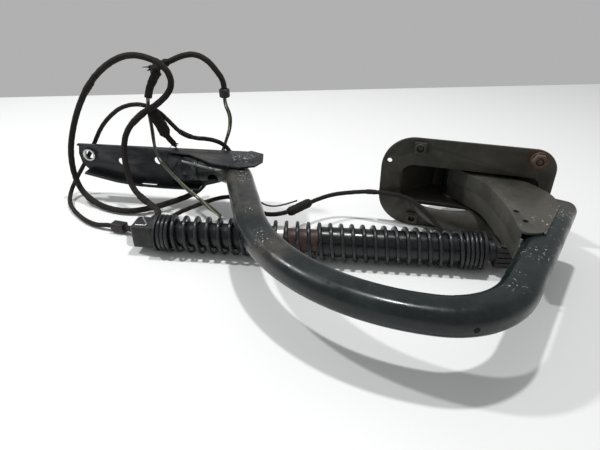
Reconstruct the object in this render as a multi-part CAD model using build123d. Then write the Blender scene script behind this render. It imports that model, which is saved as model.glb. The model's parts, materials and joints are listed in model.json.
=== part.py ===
from build123d import *
import math
import os

os.makedirs("parts", exist_ok=True)

# ---------------------------------------------------------------------------------------------
# Power-lift gooseneck hinge for a boot lid, lying on its side. Millimetres, +Z up.
# Everything is drawn with the hinge pin's axis at X = 0, Y = 0 and the resting surface at Z = 0,
# and is moved to the part's origin when it is exported. +X runs along the base plate's long side
# and +Y is the way the plate's back faces.
# ---------------------------------------------------------------------------------------------

# Base plate
PLATE_LEFT, PLATE_RIGHT = -90.6, 104.7
PLATE_HEIGHT = 116.0
PLATE_FACE = -35.0
SHEET = 3.0
PLATE_LEFT_RADIUS, PLATE_RIGHT_RADIUS = 40.0, 25.0
SLOT_LEFT, SLOT_RIGHT = -66.0, 90.0
SLOT_BOTTOM, SLOT_TOP = 34.5, 82.0
BOLT_LEFT, BOLT_RIGHT = -46.0, 84.0
BOLT_LOW, BOLT_HIGH = 10.0, 104.0
BOLT_HOLE = 4.2
SMALL_HOLE = (-81.0, 84.5, 3.0)
LIP_CENTRE = (12.0, 18.0)
LIP_RADII = (60.0, 25.0, 19.5)
LIP_TILT = 12.0
LIP_WALL = 2.0

# Hinge housing and pivot
HOUSING_BOTTOM, HOUSING_TOP = 31.5, 85.0
HOUSING_OUTLINE = [(-72, -32), (92, -32), (72, -8), (28, 26), (-28, 26), (-60, -8)]
PIN_RADIUS = 6.0
RUN_GAP = 0.05
BARREL_RADIUS = 16.0
ARM_BOTTOM, ARM_TOP = 38.3, 77.7

# Gooseneck tube
TUBE_Z = 61.6
TUBE_WIDE, TUBE_HIGH, TUBE_CORNER = 33.0, 27.0, 11.5
TUBE_WALL = 2.5
TUBE_ROUTE = [(-318, -78.5), (-272, -68), (-143, -297), (40, -280), (108.5, -74)]
TUBE_BENDS = [42, 200, 78]
DRAIN_HOLE = 2.6

# Arm pressings
PRESSING = 2.4
ARM_SEAM = 58.0
STRIP = [(14, -36), (33, -56), (43, -85), (52, -113), (60, -162)]
ARM_FRONT = (81.5, -156)
ARM_BACK = [(96, -112), (104, -84), (98, -62), (80, -40), (62, -29), (30, -9)]
ARM_EYE = [(10, 12.5), (-10, 12.5), (-13, -9)]
WEB_HOLES = [(59, -117), (66, -136)]
RELIEF_START, RELIEF_REACH, RELIEF_TOP = 19.7, 80.0, 44.4
RELIEF_FROM, RELIEF_TO = 165.0, 283.4

# Lid bracket, in its own frame: X along the bracket, Y to its back, from the middle hole
LID_ORIGIN = (-448.0, -77.0, 0.0)
LID_ANGLE = 9.46
LID_TOP = 77.0
LID_OUTLINE = [(-52, 78), (-4, 78), (60, 78), (165, 78), (165, 52), (150, 34), (120, 25), (68, 25),
               (32, 26), (1, 30), (-44, 40), (-53, 50), (-55, 64)]
LID_HOLES = [(-39, 63.5, 6.4), (6, 55, 5.2), (59, 59, 5.4)]
LID_FLANGE = 15.0

# Drive, in its own frame: X along its axis from the left socket's centre to the ball stud
DRIVE_LEFT = (-339.0, -184.0)
STUD = (60.2, -105.8)
DRIVE_Z = 21.8
SPRING_OUTER, WIRE = 21.8, 2.15
SPRING_TURNS = 36
SPRING_FROM, SPRING_TO = 17.0, 380.0
BALL = 5.0
SOCKET_WIDE, SOCKET_HALF = 27.0, 13.0
TUBE_START = 14.0
MOTOR_TUBE, MOTOR_BORE = 14.8, 13.4
GUIDE_TUBE, GUIDE_BORE = 17.0, 15.8
GUIDE_START, GUIDE_END = 202.0, 386.0
SPINDLE_TUBE, SPINDLE_TUBE_BORE = 13.4, 11.5
SPINDLE = 4.5


def at(x, y, z=0.0):
    return Pos(x, y, z)


def disc(radius, z_from, z_to, x=0.0, y=0.0, bore=0.0):
    """A round piece about a vertical axis, with a bore if one is given."""
    height = z_to - z_from
    piece = at(x, y, z_from + height / 2) * Cylinder(radius, height)
    if bore:
        piece -= at(x, y, z_from + height / 2) * Cylinder(bore, height + 2)
    return piece


def block(low, high):
    size = [b - a for a, b in zip(low, high)]
    middle = [(a + b) / 2 for a, b in zip(low, high)]
    return Pos(*middle) * Box(*size)


def prism(points, z_from, z_to):
    """A vertical prism on a closed polygon."""
    face = make_face(Polyline(*points, close=True))
    return Pos(0, 0, z_from) * extrude(face, z_to - z_from, dir=(0, 0, 1))


def hexagon_nut(across, z_from, z_to, bore, x=0.0, y=0.0):
    height = z_to - z_from
    nut = at(x, y, z_from) * extrude(RegularPolygon(across / 2, 6, major_radius=False), height)
    return nut - disc(bore, z_from - 1, z_to + 1, x, y)


# ---------------------------------------------------------------------------------------------
# Base plate and what is fixed to it
# ---------------------------------------------------------------------------------------------

def front_of_plate(x, z, depth=0.0):
    """A plane on the plate's visible face at (x, z), facing away from the plate."""
    return Plane(origin=(x, PLATE_FACE + depth, z), x_dir=(1, 0, 0), z_dir=(0, -1, 0))


def through_plate(x, z, radius):
    return front_of_plate(x, z) * Cylinder(radius, 40)


def drawn_lip():
    """The bulge pressed out of the plate below the slot: half of a tilted ellipsoid, as a skin."""
    place = Pos(LIP_CENTRE[0], PLATE_FACE, LIP_CENTRE[1]) * Rot(0, LIP_TILT, 0)
    outer = scale(Sphere(1), by=LIP_RADII)
    inner = scale(Sphere(1), by=tuple(r - LIP_WALL for r in LIP_RADII))
    skin = place * (outer - inner)
    keep = block((PLATE_LEFT, PLATE_FACE - 60, 0.8), (PLATE_RIGHT, PLATE_FACE, SLOT_BOTTOM - 0.5))
    return skin & keep


def lip_hollow():
    place = Pos(LIP_CENTRE[0], PLATE_FACE, LIP_CENTRE[1]) * Rot(0, LIP_TILT, 0)
    inner = place * scale(Sphere(1), by=tuple(r - LIP_WALL for r in LIP_RADII))
    keep = block((PLATE_LEFT, PLATE_FACE - 5, 4.0), (PLATE_RIGHT, PLATE_FACE + 8, SLOT_BOTTOM - 4.0))
    return inner & keep


def base_plate():
    width = PLATE_RIGHT - PLATE_LEFT
    outline = Rectangle(width, PLATE_HEIGHT)
    outline = fillet(outline.vertices().group_by(Axis.X)[0], PLATE_LEFT_RADIUS)
    outline = fillet(outline.vertices().group_by(Axis.X)[-1], PLATE_RIGHT_RADIUS)
    middle = ((PLATE_LEFT + PLATE_RIGHT) / 2, PLATE_HEIGHT / 2)
    plate = front_of_plate(*middle) * extrude(outline, -SHEET)
    slot = Rectangle(SLOT_RIGHT - SLOT_LEFT, SLOT_TOP - SLOT_BOTTOM)
    slot = fillet(slot.vertices().group_by(Axis.X)[0], 16)
    slot = fillet(slot.vertices().group_by(Axis.X)[-1], 9)
    slot_middle = ((SLOT_LEFT + SLOT_RIGHT) / 2, (SLOT_BOTTOM + SLOT_TOP) / 2)
    plate -= front_of_plate(*slot_middle, depth=10) * extrude(slot, 20)
    plate -= lip_hollow()
    plate += drawn_lip()
    plate -= through_plate(*SMALL_HOLE)
    for x in (BOLT_LEFT, BOLT_RIGHT):
        for z in (BOLT_LOW, BOLT_HIGH):
            plate -= through_plate(x, z, BOLT_HOLE)
    return plate


def square_nut(x, z):
    body = Rectangle(15, 15)
    body = fillet(body.vertices(), 1.5)
    nut = front_of_plate(x, z) * extrude(body, 3.4)
    nut += front_of_plate(x, z) * extrude(Circle(6.2), 4.4)
    return nut - through_plate(x, z, BOLT_HOLE)


def flanged_nut(x, z):
    nut = front_of_plate(x, z) * extrude(Circle(9.6), 2.2)
    nut += front_of_plate(x, z) * extrude(RegularPolygon(7.5, 6, major_radius=False), 7.5)
    return nut - through_plate(x, z, BOLT_HOLE)


def hinge_housing():
    """The formed box behind the plate that carries the pin, open to the slot."""
    outer = prism(HOUSING_OUTLINE, HOUSING_BOTTOM, HOUSING_TOP)
    inner_outline = [(-67.5, -31), (87.5, -31), (69.3, -9.6), (26.9, 23), (-26.9, 23), (-57.3, -9.6)]
    inner = prism(inner_outline, HOUSING_BOTTOM + SHEET, HOUSING_TOP - SHEET)
    mouth = block((-64, PLATE_FACE, HOUSING_BOTTOM + SHEET), (88, -30, HOUSING_TOP - SHEET))
    return outer - inner - mouth - disc(PIN_RADIUS, 0, 120)


def pivot_pin():
    shaft = disc(PIN_RADIUS, HOUSING_BOTTOM - 4, HOUSING_TOP + 8.5)
    head = disc(10.5, HOUSING_BOTTOM - 4, HOUSING_BOTTOM)
    return fillet((shaft + head).edges().group_by(Axis.Z)[0], 1.2)


def pivot_bush(low):
    """A flanged bush pressed into the barrel; the lower one's flange faces down."""
    if low:
        sleeve = disc(8.0, ARM_BOTTOM, ARM_BOTTOM + 14)
        flange = disc(12.0, ARM_BOTTOM - 1.5, ARM_BOTTOM)
    else:
        sleeve = disc(8.0, ARM_TOP - 14, ARM_TOP)
        flange = disc(12.0, ARM_TOP, ARM_TOP + 1.5)
    return sleeve + flange - disc(PIN_RADIUS + RUN_GAP, 0, 120)


# ---------------------------------------------------------------------------------------------
# Arm: gooseneck tube, pressings and lid bracket
# ---------------------------------------------------------------------------------------------

def tube_path():
    points = [(x, y, TUBE_Z) for x, y in TUBE_ROUTE]
    return FilletPolyline(*points, radius=TUBE_BENDS)


def tube_bar(shrink=0.0):
    """The tube's solid section, swept along its bends. A shrunk one is the bore."""
    path = tube_path()
    section = RectangleRounded(TUBE_WIDE - 2 * shrink, TUBE_HIGH - 2 * shrink, TUBE_CORNER - shrink)
    tangent = path % 0
    side = Vector(0, 0, 1).cross(tangent)
    place = Plane(origin=path @ 0, x_dir=side, z_dir=tangent)
    return sweep(place * section, path=path)


def gooseneck_tube():
    tube = tube_bar() - tube_bar(TUBE_WALL)
    tube -= disc(DRAIN_HOLE, TUBE_Z - 5, TUBE_Z + 30, 18, -294)
    return tube


def tube_end_plug():
    """The domed cap that closes the tube's free end beside the pressings."""
    path = tube_path()
    end, tangent = path @ 1, path % 1
    side = Vector(0, 0, 1).cross(tangent)
    place = Plane(origin=end, x_dir=side, z_dir=tangent)
    section = RectangleRounded(TUBE_WIDE, TUBE_HIGH, TUBE_CORNER)
    plug = extrude(section, 10)
    plug = fillet(plug.faces().sort_by(Axis.Z)[-1].edges(), 8)
    return place * plug


def corner_radii(points):
    """Each corner's arc: 0.45 of the shorter run, over the tangent of half the turn."""
    radii = []
    for before, here, after in zip(points, points[1:], points[2:]):
        run_in = Vector(*here) - Vector(*before)
        run_out = Vector(*after) - Vector(*here)
        turn = math.radians(run_in.get_angle(run_out))
        radii.append(0.45 * min(run_in.length, run_out.length) / math.tan(turn / 2))
    return radii


def arm_outline():
    """The plan of the arm's pressings: the front edge, the back edge, the eye and the strip."""
    loop = [ARM_FRONT, *ARM_BACK, *ARM_EYE, *STRIP]
    radii = corner_radii([loop[-1], *loop, loop[0]])
    return make_face(FilletPolyline(*loop, radius=radii, close=True))


def arm_box():
    """Both pressings as one hollow box, before the seam parts them."""
    height = ARM_TOP - ARM_BOTTOM
    outline = arm_outline()
    outer = Pos(0, 0, ARM_BOTTOM) * extrude(outline, height, dir=(0, 0, 1))
    inner = Pos(0, 0, ARM_BOTTOM + PRESSING) * extrude(
        offset(outline, -PRESSING), height - 2 * PRESSING, dir=(0, 0, 1))
    box = outer - inner
    box -= tube_bar() + tube_end_plug()
    box -= prism([(62.6, -150), (59, -170), (90, -164), (84, -150)], ARM_BOTTOM - 1, ARM_TOP - PRESSING)
    box -= disc(BARREL_RADIUS, 0, 120)
    for x, y in WEB_HOLES:
        box -= disc(3.0, ARM_TOP - 8, ARM_TOP + 2, x, y)
    box -= disc(4.0, ARM_BOTTOM - 2, ARM_BOTTOM + 5, *STUD)
    return box - drive_relief()


def drive_relief():
    """Room under the arm's end for the spring, which swings there as the arm closes."""
    def spot(reach, angle, aside=0.0):
        turn = math.radians(angle)
        return (STUD[0] + reach * math.cos(turn) - aside * math.sin(turn),
                STUD[1] + reach * math.sin(turn) + aside * math.cos(turn))

    low, side = ARM_BOTTOM - 3, SPRING_OUTER + 0.8
    steps = [RELIEF_FROM + (RELIEF_TO - RELIEF_FROM) * step / 10 for step in range(11)]
    fan = prism([STUD] + [spot(RELIEF_REACH, angle) for angle in steps], low, RELIEF_TOP)
    closed = prism([spot(0, RELIEF_TO), spot(RELIEF_REACH, RELIEF_TO), spot(RELIEF_REACH, RELIEF_TO, side),
                    spot(0, RELIEF_TO, side)], low, RELIEF_TOP)
    return fan + closed - disc(RELIEF_START, low - 1, RELIEF_TOP + 1, *STUD)


def pivot_barrel():
    return disc(BARREL_RADIUS, ARM_BOTTOM, ARM_TOP, bore=8.0)


def lid_frame():
    return Pos(*LID_ORIGIN) * Rot(0, 0, LID_ANGLE)


def standing(x, z):
    """A plane on the lid bracket's front face, in its own frame."""
    return Plane(origin=(x, 0, z), x_dir=(1, 0, 0), z_dir=(0, -1, 0))


def lid_bracket():
    face = make_face(Polyline(*[(x, z) for x, z in LID_OUTLINE], close=True))
    web = standing(0, 0) * extrude(face, -SHEET)
    # The lower flange follows the web's lower edge, and the upper one widens into the tab.
    lower = make_face(Polyline((-44, 40), (1, 30), (32, 26), (68, 25), (118, 25),
                               (118, 28), (68, 28), (32.4, 29), (1.5, 33), (-43, 43), close=True))
    flange = standing(0, 0) * extrude(lower, LID_FLANGE)
    tab = [(-52, 0), (-52, -4.5), (20, -5), (60, -9), (112, -18), (150, -44), (187, -53), (205, -46),
           (212, -30), (208, -6), (190, 3), (186, 0)]
    upper = prism(tab, LID_TOP, LID_TOP + 2.4)
    bracket = web + flange + upper
    for x, z, radius in LID_HOLES:
        bracket -= standing(x, z) * Cylinder(radius, 20)
    bracket -= block((34, -12, 20), (57, -4, 32))
    return lid_frame() * bracket


def lid_ring_nut():
    x, z, radius = LID_HOLES[0]
    ring = standing(x, z) * extrude(Circle(9.0), 3.0)
    ring = fillet(ring.edges().group_by(Axis.Y)[0], 1.2)
    ring -= standing(x, z) * Cylinder(radius, 20)
    return lid_frame() * ring


def ball_stud():
    """The stud riveted in the arm's lower pressing, with its ball below."""
    x, y = STUD
    stud = disc(4.0, DRIVE_Z, ARM_BOTTOM + PRESSING + 6, x, y)
    stud += disc(8.0, ARM_BOTTOM - 2.4, ARM_BOTTOM, x, y)
    return stud + Pos(x, y, DRIVE_Z) * Sphere(BALL)


def stud_nut():
    return hexagon_nut(13, ARM_BOTTOM + PRESSING, ARM_BOTTOM + PRESSING + 6, 4.0, *STUD)


# ---------------------------------------------------------------------------------------------
# Drive: two halves that slide in each other inside the spring
# ---------------------------------------------------------------------------------------------

def drive_vector():
    return Vector(STUD[0] - DRIVE_LEFT[0], STUD[1] - DRIVE_LEFT[1], 0)


DRIVE_LENGTH = drive_vector().length


def drive_frame():
    return Plane(origin=(*DRIVE_LEFT, DRIVE_Z), x_dir=drive_vector().normalized(), z_dir=(0, 0, 1))


def barrel(radius, start, end, bore=0.0):
    """A round piece along the drive's axis."""
    length = end - start
    place = Pos((start + end) / 2, 0, 0) * Rot(0, 90, 0)
    piece = place * Cylinder(radius, length)
    if bore:
        piece -= place * Cylinder(bore, length + 2)
    return piece


def socket_block(centre, neck_end, mouth):
    """A moulded socket: a box about the ball, open up or down, with a neck to the drive's tube."""
    body = Pos(centre, 0, 0) * Box(SOCKET_WIDE, SOCKET_WIDE, 2 * SOCKET_HALF)
    body = fillet(body.edges().filter_by(Axis.Z), 4)
    body = chamfer(body.edges().group_by(Axis.Z)[-1], 1.2)
    body += barrel(11.5, min(centre, neck_end), max(centre, neck_end))
    bore_radius = BALL + 0.4
    body -= Pos(centre, 0, 0) * Sphere(bore_radius)
    way = Pos(centre, 0, mouth * 10) * Cylinder(bore_radius, 20)
    return body - way


def ball_socket_left():
    body = socket_block(0, TUBE_START, -1)
    for y in (-9.5, -4.8, 4.8, 9.5):
        body -= block((-13.6, y - 0.8, -9), (-11.2, y + 0.8, 9))
    return body


def ball_socket_right():
    centre = DRIVE_LENGTH
    body = socket_block(centre, GUIDE_END, 1)
    for z in (-6.5, 0, 6.5):
        body -= block((centre - 11, -13.6, z - 0.7), (centre + 11, -12.2, z + 0.7))
    return body


def wire_clip(route, bend):
    """A sprung wire clip lying on the socket's top, on a route of (x, y) points."""
    wire = 0.9
    path = FilletPolyline(*[(x, y, SOCKET_HALF + wire) for x, y in route], radius=bend)
    section = Plane(origin=path @ 0, z_dir=path % 0) * Circle(wire)
    return sweep(section, path=path)


def socket_clip_left():
    return wire_clip([(-8, -9), (7, -9), (-5, 8), (-5, 12)], 2.2)


def socket_clip_right():
    end = DRIVE_LENGTH
    return wire_clip([(end - 9, -10), (end + 10, -10), (end + 10, 10), (end - 9, 10)], 3)


def side_gland(along, height, reach, radius, cord_radius):
    """A short collar on the left socket's back, where a cord comes out."""
    back = SOCKET_WIDE / 2
    place = Pos(along, back + reach / 2, height) * Rot(90, 0, 0)
    gland = place * Cylinder(radius, reach)
    return gland - Pos(along, back + reach, height) * Rot(90, 0, 0) * Cylinder(cord_radius, 4)


def motor_tube():
    return barrel(MOTOR_TUBE, TUBE_START + 2, 160, MOTOR_BORE) + barrel(MOTOR_TUBE, TUBE_START, 16, 4.0)


def guide_tube():
    tube = barrel(GUIDE_TUBE, GUIDE_START, GUIDE_END - 2, GUIDE_BORE)
    return tube + barrel(GUIDE_TUBE, GUIDE_END - 2, GUIDE_END, 9.0)


def main_spring():
    """Coils of one pitch between the seats; the closed end coils are left to the looks."""
    radius = SPRING_OUTER - WIRE
    length = SPRING_TO - SPRING_FROM - 2 * WIRE
    path = Helix(pitch=length / SPRING_TURNS, height=length, radius=radius)
    section = Plane(origin=path @ 0, z_dir=path % 0) * Circle(WIRE)
    coil = sweep(section, path=path, is_frenet=True)
    return Pos(SPRING_FROM + WIRE, 0, 0) * Rot(0, 90, 0) * coil


def spindle():
    """The screw, with its thread as a row of grooves."""
    screw = barrel(SPINDLE, 93.4, 245)
    for start in range(100, 242, 4):
        screw -= barrel(SPINDLE + 1, start, start + 1.6, SPINDLE - 0.6)
    return screw


# ---------------------------------------------------------------------------------------------
# Loom: free cords, each a tube of straight runs and tangent arcs
# ---------------------------------------------------------------------------------------------

MAIN_LOOM = 7.4
SENSOR_SLEEVE, SENSOR_LOOM = 7.0, 5.4
BRANCH_LOOM, BRANCH_WIRES = 6.6, 3.2
FLAG = 7.0
LEAD, LEAD_WIRE = 5.2, 2.4

# From the drive's gland up in front of the lid bracket, round a small and a large loop above it,
# down past its left end, along the floor and up behind its web.
MAIN_ROUTE = [
    (-340.4, -161.5, 26.8), (-343, -148, 26.8), (-359, -131, 23), (-386, -116, 23), (-408, -106, 31),
    (-420, -97, 52), (-424, -91, 78), (-419, -84, 104), (-398, -77, 126), (-373, -71, 140),
    (-353, -66, 159), (-355, -65, 180), (-375, -67, 194), (-404, -71, 199), (-432, -77, 188),
    (-458, -82, 166), (-480, -87, 137), (-497, -90, 104), (-509, -93, 70), (-511, -96, 39),
    (-497, -104, 16), (-470, -114, 6), (-440, -122, 5), (-408, -121, 5), (-381, -107, 8),
    (-361, -87, 11), (-345, -62, 12), (-336, -43, 20), (-329, -39, 36),
]

# From the connector along the floor, up behind the bracket's left end, over it, and down behind
# the tab.
SENSOR_ROUTE = [
    (-403.2, -163, 7), (-413, -163, 7), (-427, -163, 4), (-445, -159, 4), (-467, -149, 4), (-492, -134, 4),
    (-513, -113, 5), (-521, -93, 15), (-513, -79, 34), (-499, -74, 55), (-484, -72, 77),
    (-470, -70, 99), (-453, -68, 116), (-433, -65, 130), (-408, -61, 135), (-386, -58, 128),
    (-372, -55, 113), (-359, -53, 98), (-341, -50, 91), (-321, -46, 91), (-303, -42, 87),
    (-291, -40.5, 76), (-285, -40.5, 64),
]
SLEEVE_ROUTE = [
    (-353.7, -180.7, 21.8), (-361, -182.1, 21.8), (-370, -173, 14), (-378, -163.5, 7.5), (-386, -163.5, 7.5),
]

# From the frayed end of the tape over the top, to the grommet.
BRANCH_ROUTE = [
    (-382, -56, 180), (-360, -55, 189), (-341, -55, 197), (-324, -53, 200), (-309, -50, 193),
    (-299, -47, 179), (-292, -46, 168), (-292, -46, 159.2),
]
BRANCH_WIRE_ROUTE = [
    (-292, -46, 147.8), (-292, -46, 140), (-288, -41, 124), (-292, -38, 106), (-298, -37, 91),
    (-304, -38, 77), (-308, -43, 64),
]

# From beside the branch down in front of the bracket, bare wires from above the crossing.
DOWN_ROUTE = [(-373, -61, 177), (-380, -64, 168), (-386, -66.5, 157), (-389, -67.5, 146)]
DOWN_WIRE_ROUTE = [
    (-389, -67.5, 145.5), (-391, -68, 128), (-386, -75, 104), (-379, -85, 84), (-373, -88, 69),
    (-360, -90, 57), (-340, -99, 48), (-311, -121, 47.5), (-284, -140, 47.5), (-262, -156, 46.5),
    (-252, -163, 46),
]
FLAG_ROUTE = [(-383, -67.5, 123), (-379, -66.5, 112), (-375, -65, 100), (-369, -63, 90), (-364, -62, 84)]

# From the drive's second gland behind the spring, in front of the plate and over its lip, to the
# right socket.
LEAD_ROUTE = [
    (-333.8, -164.2, 18.8), (-335.7, -154.4, 18.8), (-327, -135, 23), (-312, -113, 25), (-299, -91, 25),
    (-284, -74, 24), (-264, -73, 22), (-246, -88, 23), (-230, -107, 26), (-210, -114, 28),
    (-193, -104, 29), (-180, -85, 30), (-166, -63, 31), (-149, -46, 33), (-129, -38, 35),
    (-107, -37, 39), (-86, -39, 41.5), (-66, -40, 41.5), (-48, -45, 40), (-32, -59, 35),
    (-18, -69, 27), (-5, -76, 16), (10, -82, 8), (26, -87, 7), (41, -90, 12),
]
LEAD_WIRE_ROUTE = [(-258, -70, 30), (-243, -80, 31), (-228, -97, 33), (-211, -105, 35), (-197, -97, 36),
                   (-186, -82, 36)]

GROMMET = (-292, -46, 148, 159)
CONNECTOR = ((-403, -169, 2), (-386, -157, 13))


def cord(name, points, diameter):
    path = FilletPolyline(*points, radius=corner_radii(points))
    section = Plane(origin=path @ 0, z_dir=path % 0) * Circle(diameter / 2)
    tube = sweep(section, path=path)
    ideal = math.pi * diameter ** 2 / 4 * path.length
    print(f"{name}: {path.length:.0f} mm long, least radius {min(corner_radii(points)):.0f} mm, "
          f"volume over ideal {tube.volume / ideal:.3f}")
    return tube


def grommet():
    x, y, low, high = GROMMET
    piece = disc(6.6, low, high, x, y)
    piece = fillet(piece.edges().filter_by(GeomType.CIRCLE), 2.2)
    return piece


# ---------------------------------------------------------------------------------------------
# Nodes
# ---------------------------------------------------------------------------------------------

def base_nodes():
    return {
        "base_plate": base_plate(),
        "weld_nut_square": square_nut(BOLT_LEFT, BOLT_HIGH),
        "weld_nut_flanged": flanged_nut(BOLT_RIGHT, BOLT_HIGH),
        "weld_nut_lower_left": square_nut(BOLT_LEFT, BOLT_LOW),
        "weld_nut_lower_right": flanged_nut(BOLT_RIGHT, BOLT_LOW),
        "hinge_housing": hinge_housing(),
        "pivot_pin": pivot_pin(),
        "pivot_nut": hexagon_nut(19, HOUSING_TOP, HOUSING_TOP + 7, PIN_RADIUS),
        "thrust_washer_lower": disc(13, HOUSING_BOTTOM + SHEET, ARM_BOTTOM - 1.8, bore=PIN_RADIUS + 0.1),
        "thrust_washer_upper": disc(13, ARM_TOP + 1.8, HOUSING_TOP - SHEET, bore=PIN_RADIUS + 0.1),
    }


def arm_nodes():
    box = arm_box()
    return {
        "gooseneck_tube": gooseneck_tube(),
        "tube_end_plug": tube_end_plug(),
        "arm_shell_upper": box - block((-400, -400, 0), (400, 400, ARM_SEAM)),
        "arm_shell_lower": box - block((-400, -400, ARM_SEAM), (400, 400, 400)),
        "pivot_barrel": pivot_barrel(),
        "pivot_bush_lower": pivot_bush(True),
        "pivot_bush_upper": pivot_bush(False),
        "lid_bracket": lid_bracket(),
        "lid_ring_nut": lid_ring_nut(),
        "ball_stud": ball_stud(),
        "stud_nut": stud_nut(),
    }


def push_nodes():
    pieces = {
        "ball_socket_right": ball_socket_right(),
        "socket_clip_right": socket_clip_right(),
        "guide_tube": guide_tube(),
        "spring_seat_right": barrel(21.4, 380, 383, GUIDE_TUBE),
        "push_tube": barrel(9.0, 247, GUIDE_END, 5.6),
        "spindle_nut": barrel(SPINDLE_TUBE_BORE - 0.3, 236.5, 247, SPINDLE + RUN_GAP),
        "main_spring": main_spring(),
    }
    return {name: drive_frame() * piece for name, piece in pieces.items()}


def motor_nodes():
    pieces = {
        "ball_socket_left": ball_socket_left(),
        "socket_clip_left": socket_clip_left(),
        "spring_seat_left": barrel(21.4, TUBE_START, TUBE_START + 3, MOTOR_TUBE),
        "motor_tube": motor_tube(),
        "crimp_ring": barrel(15.3, 154, 160, MOTOR_TUBE) + barrel(15.3, 160, 163, SPINDLE_TUBE),
        "spindle_tube": barrel(SPINDLE_TUBE, 95, 243, SPINDLE_TUBE_BORE),
        "motor_can": barrel(12.8, 18, 64),
        "gearbox": barrel(MOTOR_BORE, 64, 88),
        "spindle_bearing": barrel(MOTOR_BORE, 88, 93, SPINDLE + RUN_GAP),
        "loom_gland": side_gland(3, 5, 8.5, 5.4, MAIN_LOOM / 2),
        "lead_gland": side_gland(9, -3, 4.5, 4.2, LEAD / 2),
    }
    return {name: drive_frame() * piece for name, piece in pieces.items()}


def spindle_nodes():
    pieces = {"spindle": spindle()}
    return {name: drive_frame() * piece for name, piece in pieces.items()}


def cord_nodes():
    return {
        "main_loom": cord("main_loom", MAIN_ROUTE, MAIN_LOOM),
        "sensor_loom": cord("sensor_loom", SENSOR_ROUTE, SENSOR_LOOM),
        "sensor_sleeve": cord("sensor_sleeve", SLEEVE_ROUTE, SENSOR_SLEEVE),
        "sensor_connector": fillet(block(*CONNECTOR).edges().filter_by(Axis.X), 1.5),
        "branch_loom": cord("branch_loom", BRANCH_ROUTE, BRANCH_LOOM),
        "branch_grommet": grommet(),
        "branch_wires": cord("branch_wires", BRANCH_WIRE_ROUTE, BRANCH_WIRES),
        "down_loom": cord("down_loom", DOWN_ROUTE, BRANCH_LOOM),
        "down_wires": cord("down_wires", DOWN_WIRE_ROUTE, BRANCH_WIRES),
        "tape_flag": cord("tape_flag", FLAG_ROUTE, FLAG),
        "drive_lead": cord("drive_lead", LEAD_ROUTE, LEAD),
        "lead_wire": cord("lead_wire", LEAD_WIRE_ROUTE, LEAD_WIRE),
    }


def part_origin(nodes):
    """The middle of the box of every rigid node, on the surface that the part lies on."""
    box = Compound(children=[solid for node in nodes.values() for solid in node.solids()]).bounding_box()
    return (round((box.min.X + box.max.X) / 2, 1), round((box.min.Y + box.max.Y) / 2, 1), 0.0)


def main():
    rigid = {**base_nodes(), **arm_nodes(), **push_nodes(), **motor_nodes(), **spindle_nodes()}
    origin = part_origin(rigid)
    print("origin", origin, "drive length", round(DRIVE_LENGTH, 1))
    for name, node in {**rigid, **cord_nodes()}.items():
        moved = Pos(-origin[0], -origin[1], -origin[2]) * node
        export_step(moved, f"parts/{name}.step")
    return origin


main()
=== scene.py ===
"""Looks for the power-lift gooseneck hinge: materials, spring, loom, welds and small pieces."""

import json
import math
import random

import bmesh
import bpy
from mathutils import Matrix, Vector


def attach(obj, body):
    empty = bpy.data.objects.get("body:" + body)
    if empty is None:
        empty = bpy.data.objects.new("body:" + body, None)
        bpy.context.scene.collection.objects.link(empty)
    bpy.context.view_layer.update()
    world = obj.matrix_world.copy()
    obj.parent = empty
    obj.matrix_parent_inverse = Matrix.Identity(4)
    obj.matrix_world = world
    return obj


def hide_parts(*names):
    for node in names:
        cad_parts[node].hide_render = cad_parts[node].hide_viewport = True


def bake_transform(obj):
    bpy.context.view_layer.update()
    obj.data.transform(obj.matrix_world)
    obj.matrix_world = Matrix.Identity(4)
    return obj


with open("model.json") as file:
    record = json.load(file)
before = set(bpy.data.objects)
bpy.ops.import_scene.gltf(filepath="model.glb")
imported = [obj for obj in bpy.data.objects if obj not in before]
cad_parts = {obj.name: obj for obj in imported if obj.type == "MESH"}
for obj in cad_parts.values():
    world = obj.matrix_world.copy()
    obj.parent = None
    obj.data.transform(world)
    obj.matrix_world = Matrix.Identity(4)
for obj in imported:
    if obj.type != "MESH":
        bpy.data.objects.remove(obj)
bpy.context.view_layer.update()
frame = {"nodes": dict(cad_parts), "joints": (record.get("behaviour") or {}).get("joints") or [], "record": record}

MM = 0.001
JOINTS = {joint["name"]: joint for joint in frame["joints"]}
PIVOT = Vector((*JOINTS["arm_pivot"]["pos_m"][:2], 0.0))
STUD = Vector(JOINTS["drive_swing"]["pos_m"])
DRIVE_AXIS = -Vector(JOINTS["drive_extend"]["axis"])
DRIVE_LENGTH = 0.4068
DRIVE_START = STUD - DRIVE_AXIS * DRIVE_LENGTH


def at(x, y, z):
    """A point given in millimetres from the pin's axis and the floor, as part.py gives them."""
    return PIVOT + Vector((x, y, z)) * MM


def on_drive(along, side=0.0, up=0.0):
    """A point given in millimetres along the drive from its left socket."""
    back = Vector((0, 0, 1)).cross(DRIVE_AXIS)
    return DRIVE_START + (DRIVE_AXIS * along + back * side + Vector((0, 0, up))) * MM


# ---------------------------------------------------------------------------------------------
# Camera, floor and light
# ---------------------------------------------------------------------------------------------

def make_camera():
    data = bpy.data.cameras.new("camera")
    data.lens = 28.2
    data.sensor_width = 36.0
    camera = bpy.data.objects.new("camera", data)
    bpy.context.collection.objects.link(camera)
    camera.location = at(-27.6, -584, 304.5)
    camera.rotation_euler = (math.radians(60), 0, math.radians(17.1))
    bpy.context.scene.camera = camera


def make_light(name, x, y, z, power, size):
    data = bpy.data.lights.new(name, "AREA")
    data.energy = power
    data.shape = "DISK"
    data.size = size
    light = bpy.data.objects.new(name, data)
    bpy.context.collection.objects.link(light)
    light.location = at(x, y, z)
    aim = at(-190, -140, 0) - light.location
    light.rotation_euler = aim.to_track_quat("-Z", "Y").to_euler()


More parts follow.
